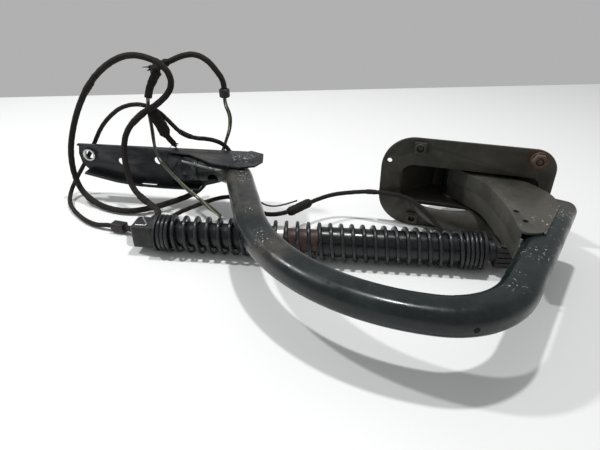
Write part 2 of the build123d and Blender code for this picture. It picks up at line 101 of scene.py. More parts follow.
def make_stage():
    back = Vector((0.926, 0.378, 0))
    front = Vector((0.378, -0.926, 0))
    edge = at(-350, 592.5, 0)
    corners = [edge - back * 3, edge + back * 3, edge + back * 3 + front * 4, edge - back * 3 + front * 4]
    floor = new_object("floor", corners, [(3, 2, 1, 0)], [plain("floor_white", (0.84, 0.85, 0.84), 0.4)],
                       smooth=False)
    world = bpy.data.worlds.new("studio")
    bpy.context.scene.world = world
    world.use_nodes = True
    background = world.node_tree.nodes["Background"]
    background.inputs["Color"].default_value = (0.93, 0.93, 0.94, 1)
    background.inputs["Strength"].default_value = 0.47
    make_light("lamp_near", -140, 56, 1320, 9.0, 0.08)
    make_light("lamp_left", -1170, -128, 1320, 12.0, 0.10)
    bpy.context.scene.view_settings.view_transform = "Standard"


# ---------------------------------------------------------------------------------------------
# Materials
# ---------------------------------------------------------------------------------------------

def plain(name, colour, roughness, metallic=0.0):
    material = bpy.data.materials.new(name)
    material.use_nodes = True
    shader = material.node_tree.nodes["Principled BSDF"]
    shader.inputs["Base Color"].default_value = (*colour, 1)
    shader.inputs["Roughness"].default_value = roughness
    shader.inputs["Metallic"].default_value = metallic
    return material


class Nodes:
    """Short ways to add and join nodes in one material."""

    def __init__(self, name):
        self.material = bpy.data.materials.new(name)
        self.material.use_nodes = True
        self.tree = self.material.node_tree
        self.shader = self.tree.nodes["Principled BSDF"]
        self.shader.inputs["Specular IOR Level"].default_value = 0.38
        self.where = self.add("ShaderNodeTexCoord").outputs["Object"]

    def add(self, kind, **values):
        node = self.tree.nodes.new(kind)
        for key, value in values.items():
            setattr(node, key, value)
        return node

    def join(self, source, target):
        self.tree.links.new(source, target)

    def noise(self, scale, detail=6.0, rough=0.6, stretch=None, where=None):
        node = self.add("ShaderNodeTexNoise")
        node.inputs["Scale"].default_value = scale
        node.inputs["Detail"].default_value = detail
        node.inputs["Roughness"].default_value = rough
        place = where or self.where
        if stretch:
            mapping = self.add("ShaderNodeMapping")
            mapping.inputs["Scale"].default_value = stretch
            self.join(place, mapping.inputs["Vector"])
            place = mapping.outputs["Vector"]
        self.join(place, node.inputs["Vector"])
        return node.outputs["Fac"]

    def ramp(self, source, low, high, start=0.0, end=1.0):
        """A smooth step of source between low and high."""
        node = self.add("ShaderNodeMapRange", interpolation_type="SMOOTHSTEP")
        node.inputs["From Min"].default_value = low
        node.inputs["From Max"].default_value = high
        node.inputs["To Min"].default_value = start
        node.inputs["To Max"].default_value = end
        self.join(source, node.inputs["Value"])
        return node.outputs["Result"]

    def math(self, operation, a, b):
        node = self.add("ShaderNodeMath", operation=operation)
        for socket, value in zip(node.inputs, (a, b)):
            if isinstance(value, (int, float)):
                socket.default_value = value
            else:
                self.join(value, socket)
        return node.outputs["Value"]

    def mix(self, factor, a, b):
        """Colour a where factor is 0 and b where it is 1."""
        node = self.add("ShaderNodeMix", data_type="RGBA")
        self.join(factor, node.inputs["Factor"])
        for socket, value in ((node.inputs[6], a), (node.inputs[7], b)):
            if isinstance(value, tuple):
                socket.default_value = (*value, 1)
            else:
                self.join(value, socket)
        return node.outputs[2]

    def near(self, point, inner, outer):
        """1 within inner metres of a point, falling to 0 at outer."""
        node = self.add("ShaderNodeVectorMath", operation="DISTANCE")
        self.join(self.where, node.inputs[0])
        node.inputs[1].default_value = point
        return self.ramp(node.outputs["Value"], inner, outer, 1.0, 0.0)

    def finish(self, colour, roughness, height=None, strength=0.2, distance=0.0003, metallic=None,
               soft_edge=0.0):
        self.join(colour, self.shader.inputs["Base Color"])
        if isinstance(roughness, float):
            self.shader.inputs["Roughness"].default_value = roughness
        else:
            self.join(roughness, self.shader.inputs["Roughness"])
        if metallic is not None:
            if isinstance(metallic, float):
                self.shader.inputs["Metallic"].default_value = metallic
            else:
                self.join(metallic, self.shader.inputs["Metallic"])
        normal = None
        if soft_edge:
            bevel = self.add("ShaderNodeBevel", samples=4)
            bevel.inputs["Radius"].default_value = soft_edge
            normal = bevel.outputs["Normal"]
        if height is not None:
            bump = self.add("ShaderNodeBump")
            bump.inputs["Strength"].default_value = strength
            bump.inputs["Distance"].default_value = distance
            self.join(height, bump.inputs["Height"])
            if normal is not None:
                self.join(normal, bump.inputs["Normal"])
            normal = bump.outputs["Normal"]
        if normal is not None:
            self.join(normal, self.shader.inputs["Normal"])
        return self.material


def e_coat(name, dark, light, wear_spots=(), dust_spots=(), rust_spots=(), gloss=0.38, dust=0.25,
           soft_edge=0.0008):
    """Painted pressed steel: mottled coat, fine dust, bare-metal chips, and rust where it is named."""
    n = Nodes(name)
    broad = n.ramp(n.noise(16, 4), 0.35, 0.68)
    colour = n.mix(broad, dark, light)
    film = n.math("MULTIPLY", n.ramp(n.noise(120, 8, 0.7), 0.45, 0.75), dust)
    colour = n.mix(film, colour, (0.16, 0.15, 0.13))
    for point, radius in dust_spots:
        cloud = n.ramp(n.noise(60), 0.3, 0.7, 0.25, 0.9)
        patch = n.math("MULTIPLY", n.near(point, radius * 0.2, radius), cloud)
        colour = n.mix(patch, colour, (0.062, 0.057, 0.048))
    roughness = n.ramp(n.noise(45, 5), 0.3, 0.75, gloss - 0.08, gloss + 0.2)
    for point, radius in rust_spots:
        cloud = n.ramp(n.noise(210, 8, 0.75), 0.38, 0.56)
        patch = n.math("MULTIPLY", n.near(point, radius * 0.35, radius), cloud)
        colour = n.mix(patch, colour, n.mix(n.noise(500, 6), (0.055, 0.028, 0.015), (0.15, 0.075, 0.038)))
        roughness = n.math("MAXIMUM", roughness, n.math("MULTIPLY", patch, 0.9))
    bare = None
    for point, radius in wear_spots:
        flecks = n.ramp(n.noise(360, 5, 0.6), 0.605, 0.63)
        chip = n.math("MULTIPLY", n.near(point, radius * 0.4, radius), flecks)
        bare = chip if bare is None else n.math("MAXIMUM", bare, chip)
    scratch = n.math("MULTIPLY", n.ramp(n.noise(35, 3, 0.5, stretch=(6.0, 22.0, 30.0)), 0.735, 0.75),
                     n.ramp(n.noise(14, 2), 0.5, 0.6))
    bare = scratch if bare is None else n.math("MAXIMUM", bare, scratch)
    colour = n.mix(bare, colour, (0.42, 0.42, 0.40))
    height = n.math("ADD", n.noise(900, 4), n.math("MULTIPLY", bare, -1.5))
    return n.finish(colour, roughness, height, 0.12, 0.0002, soft_edge=soft_edge)


def rusty_metal(name):
    n = Nodes(name)
    patch = n.ramp(n.noise(230, 8, 0.7), 0.38, 0.62)
    rust = n.mix(n.noise(700, 5), (0.05, 0.027, 0.016), (0.15, 0.082, 0.045))
    colour = n.mix(patch, (0.09, 0.078, 0.06), rust)
    return n.finish(colour, n.ramp(patch, 0, 1, 0.55, 0.92), n.noise(800, 6, 0.7), 0.6, 0.0006,
                    soft_edge=0.0006)


def bright_metal(name, colour=(0.55, 0.55, 0.53), roughness=0.3):
    n = Nodes(name)
    stain = n.ramp(n.noise(160, 6), 0.5, 0.75)
    colour = n.mix(stain, colour, (0.26, 0.22, 0.17))
    return n.finish(colour, n.ramp(stain, 0, 1, roughness, 0.6), n.noise(600), 0.15, 0.0002, metallic=0.9,
                    soft_edge=0.0004)


def moulded_plastic(name, colour=(0.014, 0.014, 0.016)):
    n = Nodes(name)
    dusty = n.math("MULTIPLY", n.ramp(n.noise(90, 7, 0.7), 0.45, 0.8), 0.5)
    shade = n.mix(dusty, colour, (0.10, 0.095, 0.085))
    return n.finish(shade, n.ramp(n.noise(140), 0.3, 0.7, 0.42, 0.66), n.noise(1500, 3), 0.25, 0.0002,
                    soft_edge=0.0006)


def spring_coat(name):
    n = Nodes(name)
    shade = n.mix(n.ramp(n.noise(55, 6), 0.35, 0.7), (0.008, 0.0095, 0.011), (0.026, 0.029, 0.031))
    worn = n.ramp(n.noise(210, 6, 0.6), 0.62, 0.70)
    shade = n.mix(n.math("MULTIPLY", worn, 0.7), shade, (0.17, 0.145, 0.12))
    return n.finish(shade, n.ramp(n.noise(150), 0.3, 0.7, 0.2, 0.42), n.noise(900, 5), 0.2, 0.0002)


def drive_tube(name, dark, light, gloss):
    n = Nodes(name)
    shade = n.mix(n.ramp(n.noise(40, 6), 0.3, 0.7), dark, light)
    grime = n.math("MULTIPLY", n.ramp(n.noise(180, 8, 0.7), 0.56, 0.76), 0.25)
    shade = n.mix(grime, shade, (0.08, 0.068, 0.056))
    return n.finish(shade, n.ramp(n.noise(120), 0.3, 0.7, gloss, gloss + 0.2), n.noise(700), 0.12, 0.0002)


def cloth_tape(name, dark=(0.004, 0.0036, 0.0032), light=(0.016, 0.0132, 0.0105)):
    """Fleecy harness tape: brown-black, with a fine cross weave and paler dust on its high threads."""
    n = Nodes(name)
    broad = n.ramp(n.noise(38, 6), 0.3, 0.7)
    shade = n.mix(broad, dark, light)
    threads = n.add("ShaderNodeTexVoronoi")
    threads.inputs["Scale"].default_value = 1500
    n.join(n.where, threads.inputs["Vector"])
    lint = n.math("MULTIPLY", n.ramp(n.noise(900, 4, 0.7), 0.52, 0.7), 0.55)
    shade = n.mix(lint, shade, (0.052, 0.043, 0.034))
    height = n.math("ADD", n.math("MULTIPLY", threads.outputs["Distance"], 0.8), n.noise(420, 6, 0.7))
    return n.finish(shade, 0.9, height, 0.8, 0.0006)


def wire_sheath(name, colour):
    n = Nodes(name)
    shade = n.mix(n.math("MULTIPLY", n.ramp(n.noise(130, 5), 0.4, 0.7), 0.45), colour, (0.10, 0.095, 0.085))
    return n.finish(shade, 0.46, n.noise(900), 0.1, 0.0002)


def weld_metal(name):
    n = Nodes(name)
    shade = n.mix(n.ramp(n.noise(260, 6), 0.4, 0.65), (0.06, 0.065, 0.065), (0.24, 0.23, 0.21))
    return n.finish(shade, 0.42, n.noise(500, 6, 0.7), 0.5, 0.0005)


def make_materials():
    p = at
    tube_wear = [(p(-246, -108, 75), 0.014), (p(-240, -120, 73), 0.010), (p(-176, -228, 75), 0.010),
                 (p(-168, -238, 73), 0.012), (p(-206, -190, 75), 0.008), (p(84, -128, 74), 0.016),
                 (p(97, -110, 72), 0.012), (p(80, -150, 75), 0.010), (p(104, -132, 62), 0.014),
                 (p(92, -160, 60), 0.018), (p(72, -190, 66), 0.022), (p(48, -245, 66), 0.016),
                 (p(108, -100, 66), 0.020), (p(-262, -82, 75), 0.012), (p(55, -226, 74), 0.006)]
    tube_dust = [(p(-250, -100, 70), 0.075), (p(-215, -170, 70), 0.05), (p(-160, -245, 70), 0.04),
                 (p(110, -90, 70), 0.035)]
    bolt = p(84, -38, 104)
    return {
        "arm_coat": e_coat("arm_coat", (0.0042, 0.0080, 0.0092), (0.011, 0.0175, 0.019), tube_wear, tube_dust,
                           gloss=0.24, dust=0.05),
        "bracket_coat": e_coat("bracket_coat", (0.0075, 0.009, 0.0115), (0.021, 0.0235, 0.027),
                               [(p(-330, -70, 60), 0.02), (p(-262, -70, 79), 0.02)],
                               [(p(-320, -75, 60), 0.05)], gloss=0.32, dust=0.12),
        "plate_steel": e_coat("plate_steel", (0.033, 0.032, 0.025), (0.058, 0.055, 0.043), (),
                              [(p(60, -38, 95), 0.06), (p(-20, -55, 25), 0.04)],
                              [(bolt, 0.020)], gloss=0.42, dust=0.18),
        "shell_coat": e_coat("shell_coat", (0.038, 0.038, 0.031), (0.068, 0.066, 0.055),
                             [(p(82, -134, 78), 0.010), (p(76, -128, 78), 0.008), (p(92, -120, 78), 0.006)],
                             [(p(95, -75, 77), 0.05)], gloss=0.40, dust=0.14),
        "rusty_steel": rusty_metal("rusty_steel"),
        "bright_steel": bright_metal("bright_steel"),
        "bush_polymer": moulded_plastic("bush_polymer", (0.45, 0.42, 0.33)),
        "black_plastic": moulded_plastic("black_plastic"),
        "spring_steel": spring_coat("spring_steel"),
        "drive_tube": drive_tube("drive_tube", (0.003, 0.0035, 0.004), (0.008, 0.009, 0.010), 0.16),
        "brown_tube": drive_tube("brown_tube", (0.040, 0.021, 0.018), (0.085, 0.050, 0.042), 0.4),
        "cloth_tape": cloth_tape("cloth_tape"),
        "wire_sheath": wire_sheath("wire_sheath", (0.030, 0.032, 0.030)),
        "wire_green": wire_sheath("wire_green", (0.07, 0.08, 0.045)),
        "wire_pale": wire_sheath("wire_pale", (0.17, 0.18, 0.095)),
        "weld": weld_metal("weld"),
        # near-black: painted shade for the inside of the drain hole, laid on as a disc
        "hole_shade": cloth_tape("hole_shade", (0.0008, 0.0008, 0.0008), (0.002, 0.002, 0.002)),
    }


# ---------------------------------------------------------------------------------------------
# Mesh helpers
# ---------------------------------------------------------------------------------------------

def new_object(name, vertices, faces, materials, face_material=None, smooth=True):
    mesh = bpy.data.meshes.new(name)
    mesh.from_pydata([tuple(v) for v in vertices], [], faces)
    for material in materials:
        mesh.materials.append(material)
    if face_material:
        for polygon, index in zip(mesh.polygons, face_material):
            polygon.material_index = index
    for polygon in mesh.polygons:
        polygon.use_smooth = smooth
    mesh.update()
    obj = bpy.data.objects.new(name, mesh)
    bpy.context.collection.objects.link(obj)
    return obj


def spline_points(name, route):
    """The points of the smooth line that a route's control points make."""
    curve = bpy.data.curves.new(name, "CURVE")
    curve.dimensions = "3D"
    curve.resolution_u = 24
    spline = curve.splines.new("NURBS")
    spline.points.add(len(route) - 1)
    for point, place in zip(spline.points, route):
        point.co = (*at(*place), 1)
    spline.order_u = 3
    spline.use_endpoint_u = True
    holder = bpy.data.objects.new(name, curve)
    bpy.context.collection.objects.link(holder)
    bpy.context.view_layer.update()
    mesh = bpy.data.meshes.new_from_object(holder)
    points = [vertex.co.copy() for vertex in mesh.vertices]
    bpy.data.meshes.remove(mesh)
    bpy.data.objects.remove(holder)
    bpy.data.curves.remove(curve)
    return points


def evenly(points, step):
    """The same line with points a step apart, and its length."""
    total = sum((b - a).length for a, b in zip(points, points[1:]))
    count = max(2, round(total / step))
    places, walked, index = [], 0.0, 0
    for i in range(count + 1):
        target = total * i / count
        while index < len(points) - 2 and walked + (points[index + 1] - points[index]).length < target:
            walked += (points[index + 1] - points[index]).length
            index += 1
        run = points[index + 1] - points[index]
        places.append(points[index] + run * min(1.0, (target - walked) / max(run.length, 1e-9)))
    return places, total


def frames_along(points):
    """A tangent and two steady normals at each point of a line."""
    tangents = []
    for i in range(len(points)):
        ahead, behind = points[min(i + 1, len(points) - 1)], points[max(i - 1, 0)]
        tangents.append((ahead - behind).normalized())
    normal = tangents[0].orthogonal().normalized()
    frames = []
    for tangent in tangents:
        normal = (normal - tangent * normal.dot(tangent)).normalized()
        frames.append((tangent, normal, tangent.cross(normal)))
    return frames


def tube_parts(points, radius_at, sides):
    """Vertices and faces of a closed tube; radius_at(distance, turn) is in metres and turns."""
    frames = frames_along(points)
    vertices, faces = [], []
    distance = 0.0
    for i, (point, (_, normal, binormal)) in enumerate(zip(points, frames)):
        if i:
            distance += (point - points[i - 1]).length
        for side in range(sides):
            turn = side / sides
            angle = 2 * math.pi * turn
            reach = radius_at(distance, turn)
            vertices.append(point + (normal * math.cos(angle) + binormal * math.sin(angle)) * reach)
    for i in range(len(points) - 1):
        for side in range(sides):
            after = (side + 1) % sides
            near, far = i * sides, (i + 1) * sides
            faces.append((near + side, near + after, far + after, far + side))
    faces.append(tuple(reversed(range(sides))))
    last = (len(points) - 1) * sides
    faces.append(tuple(last + side for side in range(sides)))
    return vertices, faces


def tube(name, points, radius_at, material, sides=16):
    vertices, faces = tube_parts(points, radius_at, sides)
    return new_object(name, vertices, faces, [material])


def strands(name, points, count, wire, spread, twist, materials, sides=8):
    """Several wires laid side by side round one line, in one piece, parting and closing along it."""
    frames = frames_along(points)
    vertices, faces, kinds = [], [], []
    for k in range(count):
        line, walked = [], 0.0
        for i, (point, (_, normal, binormal)) in enumerate(zip(points, frames)):
            if i:
                walked += (point - points[i - 1]).length
            angle = 2 * math.pi * (k / count + twist * walked)
            reach = spread * (0.8 + 0.35 * math.sin(walked * 60 + 2.1 * k))
            line.append(point + (normal * math.cos(angle) + binormal * math.sin(angle)) * reach)
        more, ring_faces = tube_parts(line, lambda s, t: wire / 2, sides)
        faces += [tuple(v + len(vertices) for v in face) for face in ring_faces]
        kinds += [k % len(materials)] * len(ring_faces)
        vertices += more
    return new_object(name, vertices, faces, materials, kinds)


def softened(node, body, material, width=0.8, segments=3, angle=35):
    """A copy of a CAD node with its sharp edges rounded over."""
    source = frame["nodes"][node]
    mesh = source.data.copy()
    mesh.materials.clear()
    mesh.materials.append(material)
    obj = bpy.data.objects.new(node + "_soft", mesh)
    bpy.context.collection.objects.link(obj)
    work = bmesh.new()
    work.from_mesh(mesh)
    bmesh.ops.remove_doubles(work, verts=work.verts, dist=0.00001)
    bmesh.ops.dissolve_limit(work, angle_limit=math.radians(1.0), verts=work.verts, edges=work.edges)
    work.to_mesh(mesh)
    work.free()
    bevel = obj.modifiers.new("round", "BEVEL")
    bevel.width = width * MM
    bevel.segments = segments
    bevel.limit_method = "ANGLE"
    bevel.angle_limit = math.radians(angle)
    bevel.harden_normals = True
    apply_modifiers(obj)
    for polygon in obj.data.polygons:
        polygon.use_smooth = True
    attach(obj, body)
    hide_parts(node)
    return obj


def apply_modifiers(obj):
    bpy.context.view_layer.update()
    shaped = bpy.data.meshes.new_from_object(obj.evaluated_get(bpy.context.evaluated_depsgraph_get()))
    obj.modifiers.clear()
    obj.data = shaped


def add(obj, body):
    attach(obj, body)
    return obj


# ---------------------------------------------------------------------------------------------
# Loom
# ---------------------------------------------------------------------------------------------

MAIN_ROUTE = [
    (-340.4, -161.5, 26.8), (-343, -148, 26.8), (-359, -131, 23), (-386, -116, 23), (-408, -106, 31),
    (-420, -97, 52), (-424, -91, 78), (-419, -84, 104), (-398, -77, 126), (-373, -71, 140),
    (-353, -66, 159), (-355, -65, 180), (-375, -67, 194), (-404, -71, 199), (-432, -77, 188),
    (-458, -82, 166), (-480, -87, 137), (-497, -90, 104), (-509, -93, 70), (-511, -96, 39),
    (-497, -104, 16), (-470, -114, 6), (-440, -122, 5), (-408, -121, 5), (-381, -107, 8),
    (-361, -87, 11), (-345, -62, 12), (-336, -43, 20), (-329, -39, 36),
]
SENSOR_ROUTE = [
    (-403.2, -163, 7), (-413, -163, 7), (-427, -163, 4), (-445, -159, 4), (-467, -149, 4),
    (-492, -134, 4), (-513, -113, 5), (-521, -93, 15), (-513, -79, 34), (-499, -74, 55),
    (-484, -72, 77), (-470, -70, 99), (-453, -68, 116), (-433, -65, 130), (-408, -61, 135),
    (-386, -58, 128), (-372, -55, 113), (-359, -53, 98), (-341, -50, 91), (-321, -47, 91),
    (-303, -45, 87), (-291, -44, 76), (-285, -46, 64),
]
SLEEVE_ROUTE = [
    (-353.7, -180.7, 21.8), (-361, -182.1, 21.8), (-370, -173, 14), (-378, -163.5, 7.5), (-386, -163.5, 7.5),
]
BRANCH_ROUTE = [
    (-382, -56, 180), (-360, -55, 189), (-341, -55, 197), (-324, -53, 200), (-309, -50, 193),
    (-299, -47, 179), (-292, -46, 168), (-292, -46, 159.2),
]
BRANCH_WIRE_ROUTE = [
    (-292, -46, 147.8), (-292, -46, 140), (-288, -41, 124), (-292, -38, 106), (-298, -37, 91),
    (-304, -38, 77), (-308, -43, 64),
]
DOWN_ROUTE = [(-373, -61, 177), (-380, -64, 168), (-386, -66.5, 157), (-389, -67.5, 146)]
DOWN_WIRE_ROUTE = [
    (-389, -67.5, 145.5), (-391, -68, 128), (-386, -75, 104), (-379, -85, 84), (-373, -88, 69),
    (-360, -90, 57), (-340, -99, 48), (-311, -121, 47.5), (-284, -140, 47.5), (-262, -156, 46.5),
    (-252, -163, 46),
]
FLAG_ROUTE = [(-383, -67.5, 123), (-379, -66.5, 112), (-375, -65, 100), (-369, -63, 90), (-364, -62, 84)]
LEAD_ROUTE = [
    (-333.8, -164.2, 18.8), (-335.7, -154.4, 18.8), (-327, -135, 23), (-312, -113, 25), (-299, -91, 25),
    (-284, -74, 24), (-264, -73, 22), (-246, -88, 23), (-230, -107, 26), (-210, -114, 28),
    (-193, -104, 29), (-180, -85, 30), (-166, -63, 31), (-149, -46, 33), (-129, -38, 35),
    (-107, -37, 39), (-86, -39, 41.5), (-66, -40, 41.5), (-48, -45, 40), (-32, -59, 35),
    (-18, -69, 27), (-5, -76, 16), (10, -82, 8), (26, -87, 7), (41, -90, 12),
]
LEAD_WIRE_ROUTE = [(-258, -70, 30), (-243, -80, 31), (-228, -97, 33), (-211, -105, 35), (-197, -97, 36),
                   (-186, -82, 36)]


def taped(diameter, seed, overlap=0.011, lumps=0.10):
    """The radius of a taped bundle: a spiral of tape edges over a slightly lumpy core."""
    dice = random.Random(seed)
    waves = [(dice.uniform(25, 140), dice.uniform(0, 6.28), dice.uniform(0.3, 1.0)) for _ in range(5)]
    weight = sum(w for _, _, w in waves)

    def radius_at(distance, turn):
        lap = (distance / overlap + turn) % 1.0
        edge = 0.075 * min(1.0, lap * 9) * (1 - 0.75 * lap)
        lump = sum(w * math.sin(distance * f + p + 5 * turn) for f, p, w in waves) / weight
        fuzz = 0.015 * math.sin(distance * 5200 + turn * 40)
        return diameter / 2 * (1.02 + edge + lumps * lump + fuzz)

    return radius_at


def taped_cord(name, route, diameter, body, materials, seed, sides=18):
    line = spline_points(name + "_line", route)
    points, _ = evenly(line, 0.0011)
    piece = tube(name + "_tape", points, taped(diameter, seed), materials["cloth_tape"], sides)
    add(piece, body)
    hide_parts(name)
    return piece, points


def wire_cord(name, route, body, count, wire, kinds):
    line = spline_points(name + "_line", route)
    points, _ = evenly(line, 0.002)
    spread = wire * 1.15 if count > 1 else 0.0
    piece = strands(name + "_strands", points, count, wire, spread, 4.5, kinds)
    add(piece, body)
    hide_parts(name)
    return piece, points


def tape_collar(name, points, middle, length, diameter, body, materials, seed):
    """A short extra wrap of tape round a cord, narrowing a little towards each end."""
    total = sum((b - a).length for a, b in zip(points, points[1:]))
    count = len(points) - 1
    first = max(0, int(count * (middle - length / 2) / total))
    last = min(count, int(count * (middle + length / 2) / total))
    span = points[first:last + 1]
    lumpy = taped(diameter, seed, overlap=0.006, lumps=0.14)
    reach = sum((b - a).length for a, b in zip(span, span[1:]))

    def radius_at(distance, turn):
        end = min(distance, reach - distance) / 0.003
        return lumpy(distance, turn) * min(1.0, 0.80 + 0.2 * end)

    return add(tube(name, span, radius_at, materials["cloth_tape"]), body)


def frayed_tape(name, centre, direction, body, materials, seed, count, reach, spread):
    """Loose threads and torn flaps of tape at a ragged end."""
    dice = random.Random(seed)
    vertices, faces = [], []
    for _ in range(count):
        lean = Vector([dice.uniform(-1, 1) for _ in range(3)]) * spread
        way = (direction + lean).normalized()
        side = way.orthogonal().normalized() * dice.uniform(0.0005, 0.0013)
        thick = way.cross(side).normalized() * 0.00022
        length = reach * dice.uniform(0.35, 1.0)
        start = centre + Vector([dice.uniform(-1, 1) for _ in range(3)]) * 0.0024
        bend = Vector([dice.uniform(-1, 1) for _ in range(3)]) * length * 0.35
        halfway = start + way * length * 0.5 + bend * 0.4
        stations = [(start, 1.0), (halfway, 0.9), (start + way * length + bend, 0.25)]
        base = len(vertices)
        for place, width in stations:
            vertices += [place - side * width - thick, place + side * width - thick,
                         place + side * width + thick, place - side * width + thick]
        for i in range(2):
            for j in range(4):
                a, b = base + i * 4 + j, base + i * 4 + (j + 1) % 4
                faces.append((a, b, b + 4, a + 4))
        faces.append((base + 3, base + 2, base + 1, base))
        faces.append((base + 8, base + 9, base + 10, base + 11))
    return add(new_object(name, vertices, faces, [materials["cloth_tape"]], smooth=False), body)


def add_wraps(materials):
    """The wide flap of loose tape under the crossing, and the wrap round the loom's joint."""
    wrap, _ = evenly(spline_points("flag_wrap_line", [(-388, -67, 134), (-384, -67, 122), (-377, -66, 108),
                                                      (-371, -64, 94)]), 0.0010)
    lumpy = taped(0.0122, 51, 0.007, 0.2)
    reach = sum((b - a).length for a, b in zip(wrap, wrap[1:]))

    def flag_radius(distance, turn):
        end = min(1.0, 0.45 + min(distance, reach - distance) / 0.012)
        return lumpy(distance, turn) * end * (0.72 + 0.42 * abs(math.cos(2 * math.pi * turn)))

    add(tube("tape_flag_wrap", wrap, flag_radius, materials["cloth_tape"], 20), "arm")
    joint, _ = evenly(spline_points("joint_wrap_line", [(-380, -57, 182), (-375, -60, 178), (-379, -63, 170),
                                                        (-383, -65, 163)]), 0.0010)
    add(tube("joint_wrap", joint, taped(0.0102, 53, 0.006, 0.16), materials["cloth_tape"], 20), "arm")


def make_loom(materials):
    sheath = [materials[kind] for kind in ("wire_sheath", "wire_green", "wire_sheath", "wire_pale")]
    _, main_points = taped_cord("main_loom", MAIN_ROUTE, 0.0074, "arm", materials, 11)
    _, sensor_points = taped_cord("sensor_loom", SENSOR_ROUTE, 0.0054, "arm",
                                       materials, 12)
    taped_cord("sensor_sleeve", SLEEVE_ROUTE, 0.0070, "motor_unit", materials, 13)
    _, branch_points = taped_cord("branch_loom", BRANCH_ROUTE, 0.0066, "arm", materials, 14)
    wire_cord("branch_wires", BRANCH_WIRE_ROUTE, "arm", 4, 0.0018, sheath)
    down_points, _ = evenly(spline_points("down_loom_line", DOWN_ROUTE), 0.0011)
    down = tube("down_loom_tape", down_points, taped(0.0090, 15), materials["cloth_tape"], 18)
    add(down, "arm")
    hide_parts("down_loom")
    wire_cord("down_wires", DOWN_ROUTE + DOWN_WIRE_ROUTE, "arm", 4, 0.0018, sheath)
    taped_cord("tape_flag", FLAG_ROUTE, 0.0070, "arm", materials, 16)
    _, lead_points = taped_cord("drive_lead", LEAD_ROUTE, 0.0052, "push_unit", materials, 17)
    wire_cord("lead_wire", LEAD_WIRE_ROUTE, "push_unit", 1, 0.0022,
              [materials["wire_sheath"]])
    collars = (
        ("collar_main_low", main_points, 0.070, 0.022, 0.0086, "arm", 21),
        ("collar_main_crossing", main_points, 0.196, 0.026, 0.0084, "arm", 22),
        ("collar_main_top", main_points, 0.292, 0.018, 0.0082, "arm", 23),
        ("collar_main_left", main_points, 0.405, 0.020, 0.0083, "arm", 24),
        ("collar_main_floor", main_points, 0.585, 0.018, 0.0082, "arm", 25),
        ("collar_sensor", sensor_points, 0.395, 0.020, 0.0066, "arm", 26),
        ("collar_branch", branch_points, 0.012, 0.024, 0.0092, "arm", 27),
        ("collar_lead_bulge", lead_points, 0.232, 0.034, 0.0112, "push_unit", 28),
        ("collar_lead_plate", lead_points, 0.335, 0.016, 0.0062, "push_unit", 29),
    )
    for name, points, middle, length, diameter, body, seed in collars:
        tape_collar(name, points, middle, length, diameter, body, materials, seed)
    add_wraps(materials)
    frays = (
        ("fray_branch", (-383, -57, 180), (-1, 0, 0.2), 31, 26, 0.010, 1.1),
        ("fray_main", (-452, -81, 171), (-0.6, 0, 0.8), 32, 9, 0.007, 0.8),
        ("fray_floor", (-497, -104, 17), (0.6, -0.4, 0.5), 33, 8, 0.006, 0.9),
        ("fray_flag", (-364, -62, 84), (0.3, 0, -0.6), 34, 12, 0.008, 0.9),
    )
    for name, place, way, seed, count, reach, spread in frays:
        frayed_tape(name, at(*place), Vector(way), "arm", materials, seed, count, reach, spread)


# ---------------------------------------------------------------------------------------------
# Spring, drive and welds
# ---------------------------------------------------------------------------------------------

SPRING_OUTER, SPRING_WIRE = 21.8, 2.15
SPRING_FROM, SPRING_TO = 17.0, 380.0
CLOSED_LEFT, CLOSED_RIGHT, OPEN_TURNS = 3.0, 4.0, 26.5


def spring_station(turns):
    """How far along the drive the wire is after so many turns, in millimetres."""
    closed = 2 * SPRING_WIRE + 0.35
    first = SPRING_FROM + SPRING_WIRE
    last = SPRING_TO - SPRING_WIRE
    open_length = last - first - closed * (CLOSED_LEFT + CLOSED_RIGHT)
    if turns < CLOSED_LEFT:
        return first + closed * turns
    if turns < CLOSED_LEFT + OPEN_TURNS:
        share = (turns - CLOSED_LEFT) / OPEN_TURNS
        return first + closed * CLOSED_LEFT + open_length * (share + 0.1 * share * (1 - share))
    return last - closed * (CLOSED_LEFT + OPEN_TURNS + CLOSED_RIGHT - turns)


def make_spring(materials):
    total = CLOSED_LEFT + OPEN_TURNS + CLOSED_RIGHT
    steps = 30
    radius = SPRING_OUTER - SPRING_WIRE
    points = []
    for i in range(int(total * steps) + 1):
        turns = i / steps
        angle = 2 * math.pi * turns + 0.6
        points.append(on_drive(spring_station(turns), radius * math.cos(angle), radius * math.sin(angle)))
    spring = tube("coil_spring", points, lambda s, t: SPRING_WIRE * MM, materials["spring_steel"], 12)
    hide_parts("main_spring")
    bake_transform(spring)


def weld_bead(name, places, radius, body, materials, seed):
    """A lumpy bead of weld along a few points."""
    dice = random.Random(seed)
    points, _ = evenly([at(*place) for place in places], 0.0008)
    phase = dice.uniform(0, 6)

    def radius_at(distance, turn):
        ripple = 1 + 0.16 * math.sin(distance * 2600 + phase) + 0.08 * math.sin(distance * 900 + 9 * turn)
        return radius * MM * ripple

    return add(tube(name, points, radius_at, materials["weld"], 10), body)


TUBE_Z = 61.6
TUBE_HALF_WIDE, TUBE_HALF_HIGH, TUBE_CORNER = 16.5, 13.5, 11.5
LID_TURN = math.radians(9.46)
UP = Vector((0, 0, 1))


def ring(centre, width, height, corner, across, count):
    """A rounded rectangle of points round a centre."""
    points = []
    for i in range(count):
        angle = 2 * math.pi * i / count
        c, s = math.cos(angle), math.sin(angle)
        x = math.copysign(abs(c) ** corner, c) * width / 2
        z = math.copysign(abs(s) ** corner, s) * height / 2
        points.append(centre + (across * x + UP * z) * MM)
    return points


